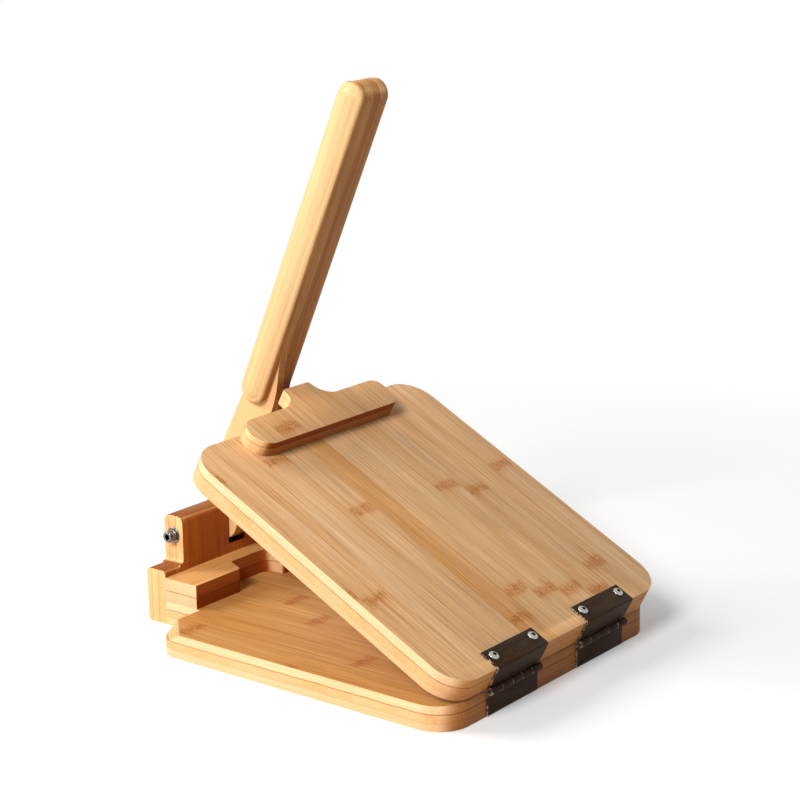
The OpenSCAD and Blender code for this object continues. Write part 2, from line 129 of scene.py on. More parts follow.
world = bpy.data.worlds.new("pale_room")
scene.world = world
world.use_nodes = True
room = world.node_tree
room.nodes.clear()
dim = put(room, "ShaderNodeBackground", {"Color": linear("f2f4f8"), "Strength": 0.22})
white = put(room, "ShaderNodeBackground", {"Color": linear("ffffff"), "Strength": 1.0})
walls = put(room, "ShaderNodeMixShader", (looked_at(room), dim, white))
put(room, "ShaderNodeOutputWorld", {"Surface": walls})

# Matt pale paint. It takes a soft grey shadow near the press, and fades to pure white further out.
shadow_reach, all_white = 0.42, 0.85
floor_paint, tree = new_material("pale_matt_floor")
seen = looked_at(tree)
matt = put(tree, "ShaderNodeBsdfDiffuse", {"Color": linear("d8d8d9")})
glow = put(tree, "ShaderNodeEmission", {"Color": linear("ffffff"), "Strength": 0.26})
nothing = put(tree, "ShaderNodeEmission", {"Strength": 0.0})
lift = put(tree, "ShaderNodeMixShader", (seen, nothing, glow))
near = put(tree, "ShaderNodeAddShader", (matt, lift))
reach = put(tree, "ShaderNodeVectorMath", (put(tree, "ShaderNodeTexCoord").outputs["Object"],),
            operation="LENGTH")
fade = put(tree, "ShaderNodeMapRange", {"Value": reach, "From Min": shadow_reach,
                                        "From Max": all_white}, interpolation_type="SMOOTHSTEP")
fade = put(tree, "ShaderNodeMath", (fade, seen), operation="MULTIPLY")
paper = put(tree, "ShaderNodeEmission", {"Color": linear("ffffff"), "Strength": 1.0})
whole = put(tree, "ShaderNodeMixShader", (fade, near, paper))
put(tree, "ShaderNodeOutputMaterial", {"Surface": whole})

floor_radius, floor_sides = 1.7, 120
rim = [2 * math.pi * i / floor_sides for i in range(floor_sides)]
floor_mesh = bpy.data.meshes.new("floor")
floor_mesh.from_pydata([(floor_radius * math.cos(a), floor_radius * math.sin(a), 0) for a in rim],
                       [], [list(range(floor_sides))])
floor = bpy.data.objects.new("floor", floor_mesh)
floor.data.materials.append(floor_paint)
scene.collection.objects.link(floor)

press_middle, warm_white = Vector((0, 0, 0.12)), (1.0, 0.985, 0.955)
for name, place, size, power in (("left_window", (-3.55, -0.45, 2.8), 1.5, 178.0),
                                 ("back_window", (-1.7, 3.0, 2.5), 2.4, 150.0)):
    lamp = bpy.data.lights.new(name, "AREA")
    lamp.shape, lamp.size, lamp.energy = "DISK", size, power
    lamp.color = warm_white
    stand = bpy.data.objects.new(name, lamp)
    stand.location = place
    stand.rotation_euler = (Vector(place) - press_middle).to_track_quat("Z", "Y").to_euler()
    scene.collection.objects.link(stand)

# Base board
# The lower board is three plies of bamboo strips, the middle one laid crosswise, pressed and glued,
# cut to outline, sanded and oiled. Its edges are eased with fine paper.

to_mm = Matrix.Scale(1000, 4)


def seat(piece, body, node, material):
    """Puts a finished piece on its body, in place of its CAD node, with its finish."""
    piece.data.materials.clear()
    piece.data.materials.append(material)
    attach(piece, body)
    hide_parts(node)


def eased(node, body, material, radius_mm, segments=3, angle=35, reshape=None):
    """A CAD node's mesh with its sharp edges rounded off, and the attribute "rounded" 1 on those
    roundings. reshape may move the vertices of the merged mesh first."""
    weld, flat_degrees = 2e-6, 0.4
    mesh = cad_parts[node].data.copy()
    shape = bmesh.new()
    shape.from_mesh(mesh)
    bmesh.ops.remove_doubles(shape, verts=shape.verts, dist=weld)
    bmesh.ops.dissolve_limit(shape, angle_limit=math.radians(flat_degrees), verts=shape.verts,
                             edges=shape.edges)
    if reshape:
        reshape(shape)
    for face in shape.faces:
        face.smooth = True
        face.material_index = 0
    shape.to_mesh(mesh)
    shape.free()

    # The bevel gives its new faces the second of two empty slots, by which they are known.
    mesh.materials.clear()
    mesh.materials.append(None)
    mesh.materials.append(None)
    piece = bpy.data.objects.new(node + "_piece", mesh)
    scene.collection.objects.link(piece)
    rounding = piece.modifiers.new("eased_edges", "BEVEL")
    rounding.width = radius_mm * MM
    rounding.segments = segments
    rounding.limit_method = "ANGLE"
    rounding.angle_limit = math.radians(angle)
    rounding.use_clamp_overlap = True
    rounding.harden_normals = True
    rounding.material = 1
    finished = bpy.data.meshes.new_from_object(
        piece.evaluated_get(bpy.context.evaluated_depsgraph_get()))
    piece.modifiers.clear()
    piece.data = finished
    finished.name = piece.name
    rounded = finished.attributes.new("rounded", "FLOAT", "FACE")
    rounded.data.foreach_set("value", [float(face.material_index) for face in finished.polygons])
    for face in finished.polygons:
        face.material_index = 0
    seat(piece, body, node, material)


def plank_frame(tree, to_plank):
    """A point's place in its plank, in millimetres, and how squarely its surface faces x, y and z:
    x is across the strips, y along the grain and z through the plies."""
    place, turn, scale = to_plank.decompose()
    turn = turn.to_euler()
    where = put(tree, "ShaderNodeTexCoord").outputs
    plank = put(tree, "ShaderNodeMapping", {"Vector": where["Object"], "Location": place,
                                            "Rotation": turn, "Scale": scale})
    facing = put(tree, "ShaderNodeMapping", {"Vector": where["Normal"], "Rotation": turn},
                 vector_type="NORMAL")
    turning, square = 0.55, 0.95
    squarely = []
    for share in list(put(tree, "ShaderNodeSeparateXYZ", (facing,)).outputs):
        share = put(tree, "ShaderNodeMath", (share,), operation="ABSOLUTE")
        squarely.append(put(tree, "ShaderNodeMapRange", {"Value": share, "From Min": turning,
                                                         "From Max": square},
                            interpolation_type="SMOOTHSTEP"))
    return plank, squarely


def glued_plies(tree, plank, z, plies, seams):
    """How many of the joints between the plies lie below a point, and the dark of the glue in them.
    A joint wavers up and down, and its dark line has soft sides."""
    wave_mm, waver_mm, line_mm, soft_mm = 20, 1.6, 0.15, 0.65
    waver = put(tree, "ShaderNodeTexNoise", {"Vector": plank, "Scale": 1 / wave_mm, "Detail": 3.0,
                                             "Roughness": 0.6})
    waver = put(tree, "ShaderNodeMath", (waver, waver_mm, -waver_mm / 2), operation="MULTIPLY_ADD")
    high = put(tree, "ShaderNodeMath", (z, waver), operation="ADD")
    ply, glue = 0.0, 0.0
    for at, strength in zip(plies, seams):
        line = put(tree, "ShaderNodeMath", (high, at), operation="SUBTRACT")
        line = put(tree, "ShaderNodeMath", (line,), operation="ABSOLUTE")
        line = put(tree, "ShaderNodeMapRange", {"Value": line, "From Min": soft_mm, "From Max": line_mm},
                   interpolation_type="SMOOTHSTEP")
        line = put(tree, "ShaderNodeMath", (line, strength), operation="MULTIPLY")
        glue = put(tree, "ShaderNodeMath", (glue, line), operation="MAXIMUM")
        passed = put(tree, "ShaderNodeMath", (high, at), operation="GREATER_THAN")
        ply = put(tree, "ShaderNodeMath", (ply, passed), operation="ADD")
    return ply, glue


def fibres(tree, grain, width_mm, length_mm, detail, roughness=0.55):
    """Soft streaks of a given width and length along the grain."""
    stretched = put(tree, "ShaderNodeMapping", {
        "Vector": grain, "Scale": (1 / width_mm, 1 / length_mm, 1 / width_mm)})
    return put(tree, "ShaderNodeTexNoise", {"Vector": stretched, "Scale": 1.0, "Detail": detail,
                                            "Roughness": roughness})


def culm_nodes(tree, x, y, grain, strips, pitch):
    """The tone of each strip on the board's face, and the orange marks where the cane had its
    nodes: a narrow band and a wide halo, both wavering along the strip."""
    ramp_mm, off_board_mm = 300, 900
    waver_mm, ripples_per_mm = 14.0, 0.11
    band_mm, band_core_mm, halo_mm, halo_core_mm = 6.8, 1.6, 15.0, 2.0
    width = len(strips) * pitch
    part = put(tree, "ShaderNodeMath", (x, width / 2), operation="ADD")
    part = put(tree, "ShaderNodeMath", (part, width), operation="DIVIDE")
    table = put(tree, "ShaderNodeValToRGB", (part,))
    table.color_ramp.interpolation = "CONSTANT"
    stops = table.color_ramp.elements
    for i, (tone, *places) in enumerate(strips):
        first, second = (places + [off_board_mm, off_board_mm])[:2]
        stop = stops[i] if i < len(stops) else stops.new(i / len(strips))
        stop.position = i / len(strips)
        stop.color = (tone, first / ramp_mm, second / ramp_mm, 1.0)
    tone, first, second = put(tree, "ShaderNodeSeparateColor", (table,)).outputs
    wave = put(tree, "ShaderNodeTexNoise", {"Vector": grain, "Scale": ripples_per_mm, "Detail": 4.0,
                                            "Roughness": 0.65})
    bent = put(tree, "ShaderNodeMath", (y, waver_mm / 2), operation="SUBTRACT")
    bent = put(tree, "ShaderNodeMath", (wave, waver_mm, bent), operation="MULTIPLY_ADD")
    band, halo = 0.0, 0.0
    for place in (first, second):
        away = put(tree, "ShaderNodeMath", (place, -ramp_mm, bent), operation="MULTIPLY_ADD")
        away = put(tree, "ShaderNodeMath", (away,), operation="ABSOLUTE")
        close = put(tree, "ShaderNodeMapRange", {"Value": away, "From Min": band_mm,
                                                 "From Max": band_core_mm},
                    interpolation_type="SMOOTHSTEP")
        band = put(tree, "ShaderNodeMath", (band, close), operation="MAXIMUM")
        close = put(tree, "ShaderNodeMapRange", {"Value": away, "From Min": halo_mm,
                                                 "From Max": halo_core_mm},
                    interpolation_type="SMOOTHSTEP")
        halo = put(tree, "ShaderNodeMath", (halo, close), operation="MAXIMUM")
    return tone, band, halo


def bamboo(name, to_plank, face, edge, end, plies=(), seams=(), cross=False, pitch=22.0,
           strips=(), seed=0.0, depth_of=(1.0, 0.35, 0.6), ply_tones=(), tones_on="both",
           uneven=0.8, slot=None):
    """Bamboo sawn into strips, pressed, glued up, sanded and oiled. to_plank turns metres on the
    object into millimetres in its plank. face, edge and end are its colours on those three cuts,
    and depth_of how much each varies. Besides the wood's own difference between its cuts, these
    colours hold painted light and shade where a material sets a cut paler for the light falling on
    it, or darker for its shade. plies are the heights of the joints between plies, and seams how
    dark each is. With cross, the second ply lies crosswise. pitch is the width of a strip, uneven
    how much their tones differ, and seed their draw. A strip on the face is its tone and the places
    of up to two culm nodes along it. ply_tones darkens the plies from the lowest up, on their edge,
    end or both. A slot, as half its width and its foot, is painted dark inside as painted shade."""
    made, tree = new_material(name)
    plank, (to_edge, to_end, to_face) = plank_frame(tree, to_plank)
    x, y, z = put(tree, "ShaderNodeSeparateXYZ", (plank,)).outputs
    ply, glue = glued_plies(tree, plank, z, plies, seams) if plies else (0.0, 0.0)
    grain, end_grain = plank, to_end
    if cross:
        middle = put(tree, "ShaderNodeMath", (ply, 1.0, 0.1), operation="COMPARE")
        crosswise = put(tree, "ShaderNodeCombineXYZ", (y, x, z))
        grain = put(tree, "ShaderNodeMix", {0: middle, 4: plank, 5: crosswise}, data_type="VECTOR")
        end_grain = put(tree, "ShaderNodeMix", {0: middle, 2: to_end, 3: to_edge}, data_type="FLOAT")

    # Each strip has a tone of its own, and its fibres start elsewhere in the pattern than those of
    # the strips beside and above it. The fine joint between two strips shows on the face.
    ply_apart, aside_mm, along_mm = 17.0, 93.0, 810.0
    joint_mm, joint_core_mm, joint_dark = 0.55, 0.1, 0.3
    run = put(tree, "ShaderNodeSeparateXYZ", (grain,)).outputs[0]
    run = put(tree, "ShaderNodeMath", (run, pitch / 2), operation="ADD")
    run = put(tree, "ShaderNodeMath", (run, pitch), operation="DIVIDE")
    count = put(tree, "ShaderNodeMath", (run,), operation="FLOOR")
    count = put(tree, "ShaderNodeMath", (ply, ply_apart, count), operation="MULTIPLY_ADD")
    count = put(tree, "ShaderNodeMath", (count, seed), operation="ADD")
    tone = put(tree, "ShaderNodeTexWhiteNoise", {"W": count}, noise_dimensions="1D")
    sideways = put(tree, "ShaderNodeMath", (tone, aside_mm), operation="MULTIPLY")
    lengthways = put(tree, "ShaderNodeMath", (tone, along_mm), operation="MULTIPLY")
    shift = put(tree, "ShaderNodeCombineXYZ", (sideways, lengthways))
    own_grain = put(tree, "ShaderNodeVectorMath", (grain, shift), operation="ADD")
    joint = put(tree, "ShaderNodeMath", (run, 0.5), operation="PINGPONG")
    joint = put(tree, "ShaderNodeMath", (joint, pitch), operation="MULTIPLY")
    joint = put(tree, "ShaderNodeMapRange", {"Value": joint, "From Min": joint_mm,
                                             "From Max": joint_core_mm},
                interpolation_type="SMOOTHSTEP")
    joint = put(tree, "ShaderNodeMath", (joint, joint_dark), operation="MULTIPLY")
    joint = put(tree, "ShaderNodeMath", (joint, to_face), operation="MULTIPLY")

    # Bundles of fibre are about 0.3 mm wide in real bamboo, and 0.45 mm is as fine as the render shows.
    drift = fibres(tree, own_grain, 13.0, 190.0, 1.0)
    streak = fibres(tree, own_grain, 2.4, 150.0, 2.0, 0.6)
    fine = fibres(tree, own_grain, 0.45, 55.0, 1.0)
    vein = fibres(tree, own_grain, 0.65, 140.0, 1.0)
    vein = put(tree, "ShaderNodeMapRange", {"Value": vein, "From Min": 0.62, "From Max": 0.69},
               interpolation_type="SMOOTHSTEP")
    bundle_mm, bundle_run_mm = 1.05, 60.0
    bundles = put(tree, "ShaderNodeMapping", {
        "Vector": own_grain, "Scale": (1 / bundle_mm, 1 / bundle_run_mm, 1 / bundle_mm)})
    bundles = put(tree, "ShaderNodeTexVoronoi", {"Vector": bundles, "Scale": 1.0})
    bundles = put(tree, "ShaderNodeMapRange", {"Value": bundles, "From Min": 0.42, "From Max": 0.14},
                  interpolation_type="SMOOTHSTEP")
    bundles = put(tree, "ShaderNodeMath", (bundles, end_grain), operation="MULTIPLY")

    # The listed strips lie on the face of the top ply. A culm node's band is broken into short dashes.
    band, halo = 0.0, 0.0
    if strips:
        on_face = to_face
        if plies:
            on_face = put(tree, "ShaderNodeMath", (ply, len(plies) - 0.5), operation="GREATER_THAN")
            on_face = put(tree, "ShaderNodeMath", (on_face, to_face), operation="MULTIPLY")
        chosen, band, halo = culm_nodes(tree, x, y, own_grain, strips, pitch)
        tone = put(tree, "ShaderNodeMix", {0: on_face, 2: tone, 3: chosen}, data_type="FLOAT")
        halo = put(tree, "ShaderNodeMath", (halo, on_face), operation="MULTIPLY")
        band = put(tree, "ShaderNodeMath", (band, on_face), operation="MULTIPLY")
        dash = fibres(tree, own_grain, 0.8, 2.6, 2.0, 0.8)
        dash = put(tree, "ShaderNodeMapRange", {"Value": dash, "From Min": 0.44, "From Max": 0.58},
                   interpolation_type="SMOOTHSTEP")
        dash = put(tree, "ShaderNodeMath", (dash, 0.78, 0.18), operation="MULTIPLY_ADD")
        band = put(tree, "ShaderNodeMath", (band, dash), operation="MULTIPLY")

    # The wood is more or less golden from strip to strip, and more or less brown with its fibres.
    # Each pattern swings by as much to either side of the plain colour.
    vary = put(tree, "ShaderNodeMix", {0: to_face, 2: depth_of[1], 3: depth_of[0]}, data_type="FLOAT")
    vary = put(tree, "ShaderNodeMix", {0: to_end, 2: vary, 3: depth_of[2]}, data_type="FLOAT")
    golden = put(tree, "ShaderNodeMath", (tone, uneven, -0.4 * uneven), operation="MULTIPLY_ADD")
    drift = put(tree, "ShaderNodeMath", (drift, 1.1, -0.55), operation="MULTIPLY_ADD")
    golden = put(tree, "ShaderNodeMath", (golden, drift), operation="ADD")
    golden = put(tree, "ShaderNodeMath", (golden, vary), operation="MULTIPLY")
    golden = put(tree, "ShaderNodeMath", (halo, 0.2, golden), operation="MULTIPLY_ADD")
    brown = put(tree, "ShaderNodeMath", (streak, 0.3, -0.15), operation="MULTIPLY_ADD")
    thread = put(tree, "ShaderNodeMath", (fine, 1.9, -0.95), operation="MULTIPLY_ADD")
    brown = put(tree, "ShaderNodeMath", (brown, thread), operation="ADD")
    brown = put(tree, "ShaderNodeMath", (vein, 0.45, brown), operation="MULTIPLY_ADD")
    brown = put(tree, "ShaderNodeMath", (brown, vary), operation="MULTIPLY")
    brown = put(tree, "ShaderNodeMath", (bundles, 0.32, brown), operation="MULTIPLY_ADD")

    sawn = to_end
    if tones_on != "end":
        sawn = put(tree, "ShaderNodeMath", (1.0, to_face), operation="SUBTRACT")
    if tones_on == "edge":
        off_end = put(tree, "ShaderNodeMath", (1.0, to_end), operation="SUBTRACT")
        sawn = put(tree, "ShaderNodeMath", (sawn, off_end), operation="MULTIPLY")
    for order, darker in enumerate(ply_tones):
        this_ply = put(tree, "ShaderNodeMath", (ply, float(order), 0.1), operation="COMPARE")
        this_ply = put(tree, "ShaderNodeMath", (this_ply, sawn), operation="MULTIPLY")
        golden = put(tree, "ShaderNodeMath", (this_ply, darker, golden), operation="MULTIPLY_ADD")

    # The cut's colour, with painted light or shade in it where a material sets it so, and each tint
    # laid over it by its amount. One under 0 makes it paler.
    tints = [(golden, "e6c26c"), (brown, "a07a4e"), (band, "dcab62"),
             (put(tree, "ShaderNodeMath", (joint, glue), operation="MAXIMUM"), "b58452")]
    # Painted shade: the wood inside the slot is darkened with 5a3a22.
    if slot:
        half_width, foot = slot
        slot_shade = put(tree, "ShaderNodeMath", (x,), operation="ABSOLUTE")
        slot_shade = put(tree, "ShaderNodeMath", (slot_shade, half_width), operation="LESS_THAN")
        over_foot = put(tree, "ShaderNodeMath", (y, foot), operation="GREATER_THAN")
        slot_shade = put(tree, "ShaderNodeMath", (slot_shade, over_foot), operation="MULTIPLY")
        tints.append((slot_shade, "5a3a22"))
    colour = put(tree, "ShaderNodeMix", {0: to_face, 6: linear(edge), 7: linear(face)}, data_type="RGBA")
    colour = put(tree, "ShaderNodeMix", {0: to_end, 6: colour, 7: linear(end)}, data_type="RGBA")
    for amount, tint in tints:
        colour = put(tree, "ShaderNodeMix", {0: amount, 6: colour, 7: linear(tint)},
                     data_type="RGBA", blend_type="MULTIPLY", clamp_factor=False)

    # Oiled and sanded, it has a dull sheen, and its fibres can only just be felt.
    felt = put(tree, "ShaderNodeMath", (fine, streak), operation="ADD")
    felt = put(tree, "ShaderNodeBump", {"Height": felt, "Strength": 0.12, "Distance": 0.2 * MM})
    dull = put(tree, "ShaderNodeMath", (fine, 0.2, 0.4), operation="MULTIPLY_ADD")
    wood = put(tree, "ShaderNodeBsdfPrincipled", {
        "Base Color": colour, "Roughness": dull, "Normal": felt, "IOR": 1.47,
        "Specular IOR Level": 0.22})
    put(tree, "ShaderNodeOutputMaterial", {"Surface": wood})
    return made


# Oiled bamboo: a warm brown face, painted darker as the shade that it lies in, pale edges
# partly painted light, and orange-brown end grain partly painted shade.
# Its strips run from the left edge to the right one, and places are measured from the hinge edge.
base_plank = Matrix.Translation((0, -hinge_edge_y_mm, 0)) @ to_mm
base_strips = [(0.35, 132), (0.42, 236), (0.60, 98), (0.45,), (0.30, 174), (0.40, 60, 215),
               (0.45, 150), (0.60, 90), (0.35, 205, 30), (0.50, 120), (0.40, 170), (0.45, 80),
               (0.40,)]
base_wood = bamboo("oiled_bamboo_base", base_plank, face="b98549", edge="f2c292", end="ad6f36",
                   plies=(5.7, 11.8), seams=(0.15, 0.75), cross=True, strips=base_strips, seed=3.0,
                   ply_tones=(0.2, 0.36, 0.0))
eased("base_board", "base", base_wood, 1.0)

# Top board
# The upper board is pressed and cut like the lower one, with all four corners rounded. It turns on
# the hinge pins, and its wood is laid out as it lies when shut.

hinge_pin_mm = Vector((0, -132.1, 18.2))
lid_open = math.radians(27.4)
shut = Matrix.Translation(hinge_pin_mm) @ Matrix.Rotation(-lid_open, 4, "X") @ \
    Matrix.Translation(-hinge_pin_mm)
lid_plank = Matrix.Translation((0, -hinge_edge_y_mm, 0)) @ shut @ to_mm
lid_strips = [(0.42, 226, 98), (0.40, 87), (0.36,), (0.34, 225), (0.30, 159), (0.95, 26),
              (0.25, 48), (0.28, 37), (0.30, 151, 30), (0.50, 138, 19), (0.36, 40), (0.34, 151),
              (0.40,)]
# Oiled bamboo: pale tan in full light, one strip much more golden, and orange culm nodes. Its pale
# edges are partly painted light, and its orange end grain partly painted shade.
lid_wood = bamboo("oiled_bamboo_lid", lid_plank, face="dcac7a", edge="f2c292", end="c88644",
                  plies=(23.1, 29.5), seams=(0.15, 0.75), cross=True, strips=lid_strips, seed=11.0,
                  ply_tones=(0.2, 0.36, 0.0))
eased("top_board", "lid", lid_wood, 1.2)

# Pressure block
# A two-ply block of bamboo in the shape of a T with long curves, glued to the top board and held
# by two beech dowels.

# Oiled bamboo: an even tan face, and end grain with a pale lower ply and a dark upper one. The
# end grain's dark on the front is partly painted shade, and the pale rounded ends partly painted light.
block_wood = bamboo("oiled_bamboo_block", lid_plank, face="d9a772", edge="f0bf88", end="9a5a24",
                    plies=(43.8,), seams=(0.5,), seed=21.0, uneven=0.3, ply_tones=(-0.2, 1.3),
                    strips=[(0.5,), (0.62, 240), (0.35,), (0.55,), (0.5,), (0.45,), (0.5,)],
                    tones_on="end")


def half_round(shape):
    """Draws the left wing's end out to the full half round of the photo. The CAD's is flatter."""
    wing_end_x, round_middle_x, round_middle_y, round_radius = -61.5, -63.6, 244.0, 14.0
    for vert in shape.verts:
        at = lid_plank @ vert.co
        if at.x < wing_end_x:
            bulge = max(0.0, round_radius ** 2 - (at.y - round_middle_y) ** 2)
            at.x = round_middle_x - math.sqrt(bulge)
            vert.co = lid_plank.inverted() @ at


eased("pressure_block", "lid", block_wood, 1.0, reshape=half_round)

# Turned beech: plain and pale, all one strip.
dowel_wood = bamboo("turned_beech_dowel", lid_plank, face="d9b285", edge="d9b285", end="c99b68",
                    pitch=40.0, seed=25.0)
eased("block_dowels", "lid", dowel_wood, 0.4)

# Stop block
# A short two-ply block of bamboo across the base board's tail, with a notch for the fingers. Two
# screws hold it from below, and its grain runs from side to side.

# Oiled bamboo: a golden top, a front painted brown as painted shade, since it looks away from
# the light, and ends painted pale as painted light.
stop_plank = Matrix.Rotation(math.radians(90), 4, "Z") @ Matrix.Translation((0, -150.0, 0)) @ to_mm
stop_wood = bamboo("oiled_bamboo_stop", stop_plank, face="d8a060", edge="9c541c", end="e8bd8e",
                   plies=(26.5,), seams=(0.7,), seed=31.0, depth_of=(0.9, 0.9, 0.35), uneven=0.25,
                   ply_tones=(0.7, 0.15), tones_on="edge")
eased("stop_block", "base", stop_wood, 0.8)

# Yoke
# An upright plank of three plies of bamboo, grain standing, with two ears and a slot for the lever.
# It is screwed on from behind.

# Oiled bamboo: a red-brown front whose depth of colour is painted shade, pale edges partly painted
# light, and a slot painted dark inside as painted shade.
yoke_plank = Matrix.Rotation(math.radians(90), 4, "X").inverted() @ to_mm
yoke_wood = bamboo("oiled_bamboo_yoke", yoke_plank, face="aa5e1c", edge="ecb67c", end="90521a",
                   plies=(-175.8, -169.0), seams=(0.4, 0.5), seed=41.0, pitch=15.0, slot=(9.1, 43.4))
eased("yoke_plate", "base", yoke_wood, 0.8)

# Lever
# A straight bamboo bar with a scale glued to each side of its upper part. The scales have flat
# sides and small round edges, and the left one is thinner than the right one.

pivot_mm = Vector((0, 171.0, 62.0))
lean = math.radians(23.9)
upright = Matrix.Rotation(-lean, 4, "X") @ Matrix.Translation(-pivot_mm)
lever_plank = Matrix.Rotation(math.radians(90), 4, "X").inverted() @ upright @ to_mm
# Oiled bamboo, handled: smooth and honey-brown, with paler sides. The paler sides are partly
# painted light, and the brown front partly painted shade.
scale_wood = bamboo("oiled_bamboo_grip", lever_plank, face="b07840", edge="e6be8a", end="cb9459",
                    pitch=19.0, seed=51.0, depth_of=(0.8, 0.4, 0.4))
# Oiled bamboo: two strips show on the bar's front, the right one much darker. Its pale sides are
# partly painted light, and its brown front partly painted shade.
bar_plank = Matrix.Translation((3.75, 0, 0)) @ lever_plank
bar_wood = bamboo("oiled_bamboo_bar", bar_plank, face="b67c40", edge="e6b67c", end="cf9656",
                  pitch=7.5, strips=[(0.3,), (0.1,), (1.0,)], seed=61.0,
                  depth_of=(1.0, 0.25, 0.5), uneven=1.4)
eased("lever_arm", "lever", bar_wood, 0.7)


def flat_sided(shape):
    """Fills a scale's round side out to a flat one with small round edges, and thins the left
    scale. Both are as in the photo, and the CAD's scales are round and alike."""
    glued_x, clear_x, round_x = 7.0, 7.2, 7.5
    half, corner, thinner = 10.5, 7.5, 0.68
    highest = cad_high[2] - 0.1 * MM
    shape.normal_update()
    moved = []
    for vert in shape.verts:
        at = lever_plank @ vert.co
        side = math.copysign(1.0, at.x)
        outward = min(1.0, max(0.0, (abs(at.x) - round_x) / half))
        along = math.sqrt(1.0 - outward * outward)
        if min(along, outward) * half <= max(along, outward) * (half - corner):
            reach = half / max(along, outward)
        else:
            middle = (half - corner) * (along + outward)
            reach = middle + math.sqrt(corner ** 2 - 2 * (half - corner) ** 2 + middle ** 2)
        flat = Vector((0, vert.normal.y, vert.normal.z))
        if abs(at.x) > clear_x and flat.length > 0.001:
            at = lever_plank @ (vert.co + flat.normalized() * (reach - half) * along * MM)
            at.x += side * (reach - half) * outward
        if side < 0:
            at.x = -glued_x + (at.x + glued_x) * thinner
        moved.append((vert, lever_plank.inverted() @ at))
    for vert, place in moved:
        vert.co = (place.x, place.y, min(place.z, highest))


for node in ("left_grip_scale", "right_grip_scale"):
    eased(node, "lever", scale_wood, 0.3, angle=50, reshape=flat_sided)

# Hinges
# Leaves of bent sheet steel in a dark bronze lacquer on steel pins. Pan heads hold the upper
# leaves, and countersunk screws the lower ones from below.

# Worn lacquer: near black-brown and dull with a soft wide gloss, and bare glints along the edges.
# Its real grain is finer than the render can show.
specks_per_mm, clouds_per_mm = 0.62, 0.09
lacquer, tree = new_material("worn_bronze_lacquer")
where = put(tree, "ShaderNodeTexCoord").outputs
mottle = put(tree, "ShaderNodeTexNoise", {"Vector": where["Object"], "Scale": specks_per_mm / MM,
                                          "Detail": 3.0, "Roughness": 0.65})
cloud = put(tree, "ShaderNodeTexNoise", {"Vector": where["Object"], "Scale": clouds_per_mm / MM,
                                         "Detail": 2.0})
sides = put(tree, "ShaderNodeSeparateXYZ", (where["Normal"],)).outputs[0]
sides = put(tree, "ShaderNodeMath", (sides,), operation="ABSOLUTE")
sides = put(tree, "ShaderNodeMapRange", {"Value": sides, "From Min": 0.6, "From Max": 0.9})
corners = put(tree, "ShaderNodeAttribute", attribute_name="rounded").outputs["Fac"]
rubbed = put(tree, "ShaderNodeMath", (sides, corners), operation="MAXIMUM")
patchy = put(tree, "ShaderNodeMapRange", {"Value": mottle, "From Min": 0.44, "From Max": 0.58})
rubbed = put(tree, "ShaderNodeMath", (rubbed, patchy), operation="MULTIPLY")
fleck = put(tree, "ShaderNodeMapRange", {"Value": mottle, "From Min": 0.54, "From Max": 0.70,
                                         "To Max": 0.6})
coat = put(tree, "ShaderNodeMix", {0: cloud, 6: linear("24170d"), 7: linear("3a2715")},
           data_type="RGBA")
coat = put(tree, "ShaderNodeMix", {0: fleck, 6: coat, 7: linear("5a432b")}, data_type="RGBA")
coat = put(tree, "ShaderNodeMix", {0: rubbed, 6: coat, 7: linear("bdb09c")}, data_type="RGBA")
dull = put(tree, "ShaderNodeMapRange", {"Value": mottle, "To Min": 0.42, "To Max": 0.62})
pits = put(tree, "ShaderNodeBump", {"Height": mottle, "Strength": 0.25, "Distance": 0.2 * MM})
leaf = put(tree, "ShaderNodeBsdfPrincipled", {
    "Base Color": coat, "Metallic": rubbed, "Roughness": dull, "IOR": 1.5,
    "Specular IOR Level": 0.07, "Normal": pits})
put(tree, "ShaderNodeOutputMaterial", {"Surface": leaf})
for node, body in (("left_lower_leaf", "base"), ("right_lower_leaf", "base"),
                   ("left_upper_leaf", "lid"), ("right_upper_leaf", "lid")):
    eased(node, body, lacquer, 0.22, segments=2, angle=30)


def steel(name, colour, roughness):
    """Bare steel with faint scratches, which in truth are finer than the render can show. Faces
    with the attribute pit, in sockets and recesses, are painted near black as painted shade."""
    scratches_per_mm, patchy = 0.9, 0.06
    made, tree = new_material(name)
    where = put(tree, "ShaderNodeTexCoord").outputs["Object"]
    scratch = put(tree, "ShaderNodeTexNoise", {"Vector": where, "Scale": scratches_per_mm / MM,
                                               "Detail": 2.0})
    pit = put(tree, "ShaderNodeAttribute", attribute_name="pit").outputs["Fac"]
    tint = put(tree, "ShaderNodeMix", {0: scratch, 6: linear(colour), 7: linear("8d8b88")},
               data_type="RGBA")
    # Painted shade: pit faces in sockets and recesses are tinted near black.
    tint = put(tree, "ShaderNodeMix", {0: pit, 6: tint, 7: linear("1c1815")}, data_type="RGBA")
    gloss = put(tree, "ShaderNodeMapRange", {"Value": scratch, "To Min": roughness - patchy,
                                             "To Max": roughness + patchy})
    metal = put(tree, "ShaderNodeBsdfPrincipled", {"Base Color": tint, "Metallic": 1.0,
                                                   "Roughness": gloss})
    put(tree, "ShaderNodeOutputMaterial", {"Surface": metal})
    return made


# Zinc plate: light, smooth and bright, with sharp glints. Spring steel: greyer and duller.
bright = steel("bright_zinc_plated_steel", "c4c1bd", 0.22)
dark_steel = steel("dull_spring_steel", "8f8a84", 0.36)
for node in ("left_hinge_pin", "right_hinge_pin"):
    eased(node, "base", dark_steel, 0.25, angle=50)


